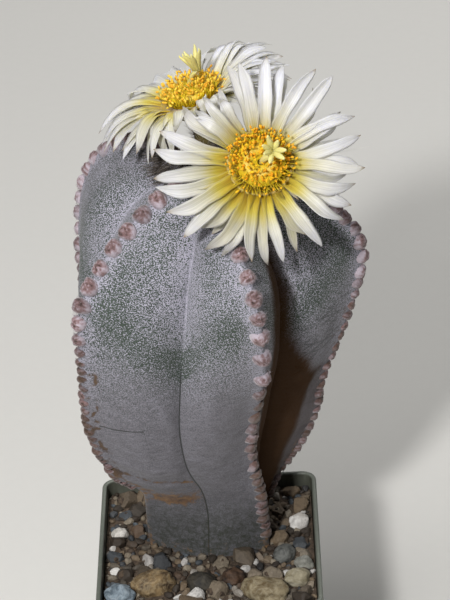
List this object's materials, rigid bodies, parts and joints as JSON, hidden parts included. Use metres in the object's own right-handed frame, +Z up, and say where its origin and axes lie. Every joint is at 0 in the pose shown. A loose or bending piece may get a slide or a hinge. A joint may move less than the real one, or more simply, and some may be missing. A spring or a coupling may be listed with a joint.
{
  "type": "potted bishops cap cactus",
  "caption": "Tall ribbed bishop's cap cactus with felted skin, woolly areoles along each crest and open cream flowers, growing in gritty compost in a small square plastic pot.",
  "frame": {"origin": "centre of the pot's flat underside", "axes": "+Z up along the height; the pot's front face, over which the front flower opens, looks along -Y"},
  "size_m": [0.0895, 0.093, 0.2411],
  "materials": {
    "pale_grey_polypropylene": "moulded satin, slightly scuffed",
    "mineral_grit": "dry mixed grit and compost",
    "pebble": "dull washed pebbles of mixed colours",
    "grey_felted_skin": "waxy green skin densely flecked with white felt",
    "crown_wool_fibre": "matted woolly hair",
    "flower_tube_skin": "scaly brownish green",
    "tepal_cream": "silky and thin",
    "anther_orange": "dusty pollen",
    "stigma_yellow": "moist satin"
  },
  "bodies": {
    "root": {"pot": "pale_grey_polypropylene", "substrate": "mineral_grit", "stem": "grey_felted_skin", "crown_wool": "crown_wool_fibre", "flower_front_tube": "flower_tube_skin", "flower_front_tepals": "tepal_cream", "flower_front_stamens": "anther_orange", "flower_front_style": "stigma_yellow", "flower_rear_tube": "flower_tube_skin", "flower_rear_tepals": "tepal_cream", "flower_rear_stamens": "anther_orange", "flower_rear_style": "stigma_yellow", "stone_ochre": "pebble", "stone_blue_grey": "pebble", "stone_cream": "pebble", "stone_pale": "pebble", "stone_grey": "pebble", "stone_oval": "pebble", "stone_quartz_right": "pebble", "stone_quartz_left": "pebble", "stone_dark": "pebble", "stone_brown": "pebble"}
  },
  "joints": []
}
